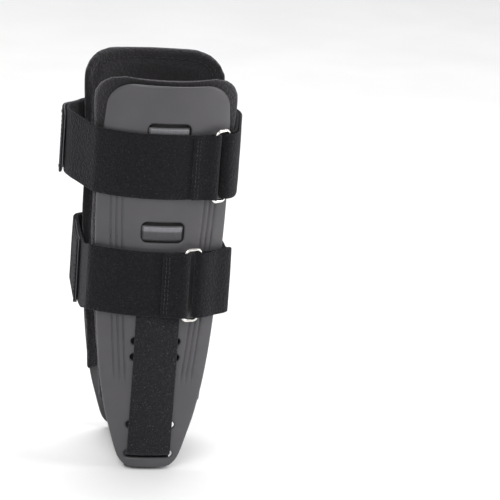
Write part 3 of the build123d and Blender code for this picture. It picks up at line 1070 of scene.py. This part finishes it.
def make_pad_stitching():
    """Stitches in each pad's seam."""
    loop = resample(pad_outline(PAD_SEAM_INSET), 1.0)
    loop.append(loop[0])

    def place(s):
        k = min(int(s), len(loop) - 2)
        spot = loop[k].lerp(loop[k + 1], s - k)
        offset = PAD_INNER + 0.1 + PAD_SEAM_DEPTH
        centre_y = SIDE_RADIUS - reach(spot.y)
        point = Vector((spot.x, side_y(spot.x, spot.y, offset), spot.y))
        return point, Vector((-point.x, centre_y - point.y, 0)).normalized()

    runs = stitches(place, len(loop) - 1, pitch=3.2, bite=2.5)
    for side, sign in (("lateral", 1), ("medial", -1)):
        moved = [[Vector((p.x, sign * p.y, p.z)) for p in run] for run in runs]
        piece = thread(f"{side}_pad_stitching", moved, THREAD, 0.2)
        settle(piece, f"{side}_side", "pad_cloth")


def make_strap(strap):
    """Wrap strap with the stitches of its sewn end and its hook tab."""
    name, low_z = strap["name"], strap["bottom"]
    marks = strap_marks(strap)
    low = strap_chain(strap, low_z, marks)
    high = strap_chain(strap, low_z + STRAP_WIDTH, marks)
    surface, length = ruled(strap, low, high)
    piece = band(f"{name}_wrap_strap", surface, length, STRAP_WIDTH, STRAP_THICKNESS, STRAP_PILE,
                 ends=(1.0, 0.0), step=1.3)
    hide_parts(*(f"{name}_strap_{part}" for part in ("lateral", "front", "medial", "return")))
    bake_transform(piece)
    make_end_stitching(strap, surface)
    make_tab(strap, marks[3])


def make_end_stitching(strap, surface):
    """Two rows of stitches that sew a strap's folded end down beside its ring."""
    sewn = on_face(surface, STRAP_THICKNESS / 2 + 0.05)
    runs = []
    for s in (1.8, 3.6):
        runs += stitches(lambda w: sewn(s, 2.0 + w), STRAP_WIDTH - 4.0)
    piece = thread(f"{strap['name']}_ring_stitching", runs, THREAD)
    settle(piece, "lateral_side", "strap_fabric")


def make_tab(strap, finish):
    """Hook tab: the strap's woven end with hook tape sewn beneath it."""
    name, low_z = strap["name"], strap["bottom"]
    layers = [
        ("tab_cover", 0.32, 0.8, STRAP_PILE, "strap_fabric", [f"{name}_hook_tab"]),
        ("tab_hooks", -0.42, 0.6, TAB_HOOKS, "hook_tape", []),
    ]
    covers = {}
    for part, lift, thickness, material, slot, nodes in layers:
        low = tab_chain(strap, low_z, lift, finish)
        high = tab_chain(strap, low_z + STRAP_WIDTH, lift, finish)
        surface, length = ruled(strap, low, high)
        piece = band(f"{name}_{part}", surface, length, STRAP_WIDTH, thickness, material,
                     ends=(0.5, 5.0), step=1.6)
        settle(piece, f"{name}_tab", slot, *nodes)
        covers[part] = surface, length
    surface, length = covers["tab_cover"]
    sewn = on_face(surface, 0.45)
    runs = []
    for s in (2.0, length - 3.0):
        runs += stitches(lambda w: sewn(s, 3.0 + w), STRAP_WIDTH - 6.0)
    for w in (3.0, STRAP_WIDTH - 3.0):
        runs += stitches(lambda s: sewn(2.0 + s, w), length - 5.0)
    piece = thread(f"{name}_tab_stitching", runs, THREAD)
    settle(piece, f"{name}_tab", "strap_fabric")


def make_ring(strap):
    """Rectangular wire ring, its ends butt-welded in the middle of the rear bar."""
    name = strap["name"]
    outline = []
    x, z = RING_SPACING - RING_CORNER, RING_HEIGHT / 2 - RING_CORNER
    for cx, cz, start in ((x, -z, -90), (x, z, 0), (RING_CORNER, z, 90), (RING_CORNER, -z, 180)):
        outline += arc((cx, cz), RING_CORNER, start, start + 90, 12)
    outline = resample(outline, 0.5)
    count, sides = len(outline), 20
    matrix = ring_frame(strap)
    points = []
    for i, spot in enumerate(outline):
        way = (outline[(i + 1) % count] - outline[i - 1]).normalized()
        out = Vector((way.y, -way.x))
        weld = 1 + 0.10 * math.exp(-((spot.y / 0.7) ** 2)) * (spot.x < 1)
        for k in range(sides):
            angle = 2 * math.pi * k / sides
            size = RING_WIRE / 2 * weld
            local = Vector((
                spot.x + out.x * math.cos(angle) * size,
                math.sin(angle) * size,
                spot.y + out.y * math.cos(angle) * size,
            ))
            points.append(tuple(matrix @ local))
    piece = mesh_object(f"{name}_wire_ring", points, tube_faces(0, count, sides, True), RING_NICKEL)
    settle(piece, f"{name}_ring", "ring_steel", f"{name}_ring")


def heel_bend_centre():
    """Y, taken as positive, and Z of the axis that the heel strap bends round beside the floor."""
    inner_face = reach(0) - SHELL_THICKNESS - HEEL_CLEARANCE - HEEL_THICKNESS
    return inner_face - HEEL_BEND_RADIUS - HEEL_BEND_INSET, HEEL_THICKNESS + HEEL_BEND_RADIUS


def heel_half_chain():
    """Middle of the lateral half of the heel strap as (y, z, share of the shell's curve), from the tail's
    top to the floor."""
    half = HEEL_THICKNESS / 2
    chain = []
    slot_z = SLOT_LEVELS[0]
    outer, inner = PATCH_THICKNESS + half, -SHELL_THICKNESS - HEEL_CLEARANCE - half
    count = 60
    for k in range(count + 1):
        z = lerp(HEEL_TOP, slot_z + 2.2, k / count)
        chain.append((side_y(0, z, outer), z, 1.0))
    turn = [
        (outer - 0.25, slot_z + 1.0), (outer - 1.1, slot_z + 0.15), (-SHELL_THICKNESS / 2, slot_z - 0.1),
        (inner + 1.0, slot_z - 0.3), (inner + 0.15, slot_z - 1.2),
    ]
    for offset, z in turn:
        chain.append((side_y(0, z, offset), z, 1.0))
    bend_y, bend_z = heel_bend_centre()
    radius = HEEL_BEND_RADIUS + half
    for k in range(11):
        angle = math.radians(180 + 9 * k)
        share = 1.0 - smooth(k / 6)
        chain.append((-bend_y + radius * math.cos(angle), bend_z + radius * math.sin(angle), share))
    return chain


def make_heel_strap():
    """Heel strap in one piece, from the lateral tail under the heel to the medial one."""
    near = heel_half_chain()
    floor_z = HEEL_THICKNESS / 2
    bend_y = heel_bend_centre()[0]
    floor = [(lerp(-bend_y, bend_y, k / 20), floor_z, 0.0) for k in range(1, 20)]
    chain = near + floor + [(-y, z, share) for y, z, share in reversed(near)]
    lengths = running_lengths([Vector(spot[:2]) for spot in chain])

    def surface(s, w):
        k, t = locate(lengths, s)
        y, z, share = (lerp(a, b, t) for a, b in zip(chain[k], chain[k + 1]))
        x = w - HEEL_WIDTH / 2
        sink = SIDE_RADIUS - math.sqrt(SIDE_RADIUS ** 2 - x * x)
        return Vector((x, y + math.copysign(sink * share, -y), z))

    piece = band("heel_strap_webbing", surface, lengths[-1], HEEL_WIDTH, HEEL_THICKNESS, HEEL_PILE,
                 ends=(3.0, 3.0), step=1.2, wobble=0.15)
    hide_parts("heel_strap", "heel_strap_medial_tail")
    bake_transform(piece)


def dress_cad_nodes():
    """Finishes for the frame's own pieces that stay in sight."""
    for name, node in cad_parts.items():
        if name.endswith("_hook_patches"):
            node.data.materials.clear()
            node.data.materials.append(HOOK_TAPE)


# ---------------------------------------------------------------- stage

def area_light(name, place, size, power):
    """Rectangular lamp that faces the object."""
    light = bpy.data.lights.new(name, "AREA")
    light.shape = "RECTANGLE"
    light.size, light.size_y = size
    light.energy = power
    lamp = bpy.data.objects.new(name, light)
    lamp.location = place
    lamp.rotation_euler = (Vector(LIGHT_TARGET) - Vector(place)).to_track_quat("-Z", "Y").to_euler()
    bpy.context.scene.collection.objects.link(lamp)


def make_camera():
    """Camera that looks at the lateral side from a little behind and above."""
    low, high = CAD_BOX
    middle = (Vector(low) + Vector(high)) / 2
    azimuth, elevation = math.radians(CAMERA_AZIMUTH), math.radians(CAMERA_ELEVATION)
    level = Vector((math.sin(azimuth), -math.cos(azimuth), 0))
    back = level * math.cos(elevation) + Vector((0, 0, math.sin(elevation)))
    right = Vector((0, 0, 1)).cross(back).normalized()
    up = back.cross(right)
    aim = middle + right * AIM_RIGHT + up * AIM_UP
    data = bpy.data.cameras.new("camera")
    data.sensor_width = SENSOR
    data.lens = SENSOR * CAMERA_DISTANCE / FRAME_WIDTH
    camera = bpy.data.objects.new("camera", data)
    turn = Matrix((right, up, back)).transposed() @ Matrix.Rotation(math.radians(CAMERA_ROLL), 3, "Z")
    camera.matrix_world = Matrix.Translation(aim + back * CAMERA_DISTANCE) @ turn.to_4x4()
    bpy.context.scene.collection.objects.link(camera)
    bpy.context.scene.camera = camera


def make_stage():
    """Pale floor, white surroundings and soft lamps."""
    material, shader, here, add, link = nodes_for("floor_paint")
    grain = texture_at(add, "ShaderNodeTexNoise", here, 12.0, Detail=3.0).outputs["Fac"]
    colour = two_colours(add, grain, (0.88, 0.88, 0.88), (0.91, 0.91, 0.91))
    link(shader, {"Base Color": colour, "Roughness": 0.7})
    half = 4000.0
    corners = [(-half, -half, 0), (half, -half, 0), (half, half, 0), (-half, half, 0)]
    floor = mesh_object("floor", corners, [(0, 1, 2, 3)], material)
    floor.location.z = -0.0002
    world = bpy.data.worlds.new("studio")
    world.use_nodes = True
    world.node_tree.nodes["Background"].inputs["Color"].default_value = (1, 1, 1, 1)
    world.node_tree.nodes["Background"].inputs["Strength"].default_value = WORLD_STRENGTH
    bpy.context.scene.world = world
    for light in LIGHTS:
        area_light(*light)


bpy.context.scene.view_settings.view_transform = "Standard"
make_camera()
make_shells()
make_window_bands()
make_pads()
make_pad_stitching()
for wrap in (UPPER, LOWER):
    make_strap(wrap)
    make_ring(wrap)
make_heel_strap()
dress_cad_nodes()
make_stage()
